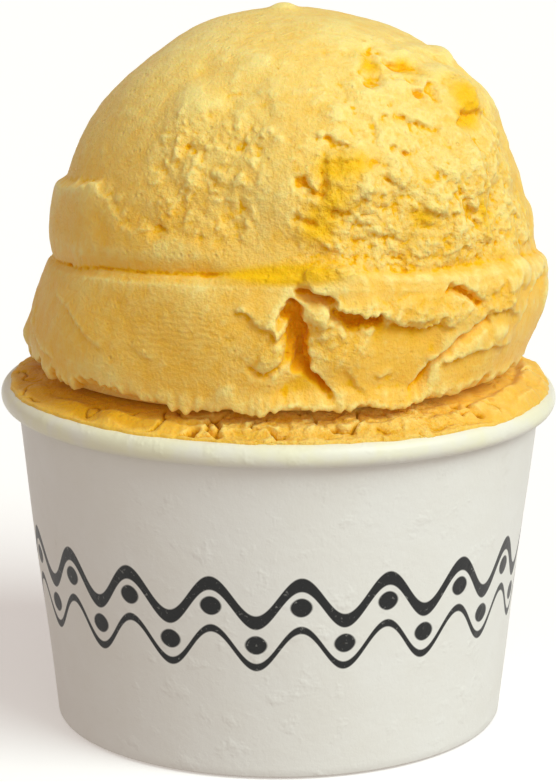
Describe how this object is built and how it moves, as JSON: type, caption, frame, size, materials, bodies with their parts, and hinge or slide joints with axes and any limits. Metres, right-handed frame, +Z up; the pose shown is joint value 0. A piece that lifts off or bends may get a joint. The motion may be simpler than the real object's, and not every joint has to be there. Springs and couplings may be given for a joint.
{
  "type": "gelato cup",
  "caption": "Rolled-rim paper cup filled with yellow gelato, with one large scoop standing on top.",
  "frame": {"origin": "centre of the cup's foot ring, on the surface it stands on", "axes": "+Z up the cup's axis, -Y towards the front where the scoop's splits are, +X to the right of the front"},
  "size_m": [0.076, 0.076, 0.098],
  "materials": {
    "cup_paper": "matte white board with a printed band of charcoal ink",
    "packed_gelato": "soft, slightly moist mango-yellow gelato",
    "scoop_gelato": "mango-yellow gelato, smooth where the scoop pressed it and crumbly where it tore"
  },
  "bodies": {
    "root": {"cup_wall": "cup_paper", "cup_bottom": "cup_paper", "packed_gelato": "packed_gelato", "scoop": "scoop_gelato"}
  },
  "joints": []
}
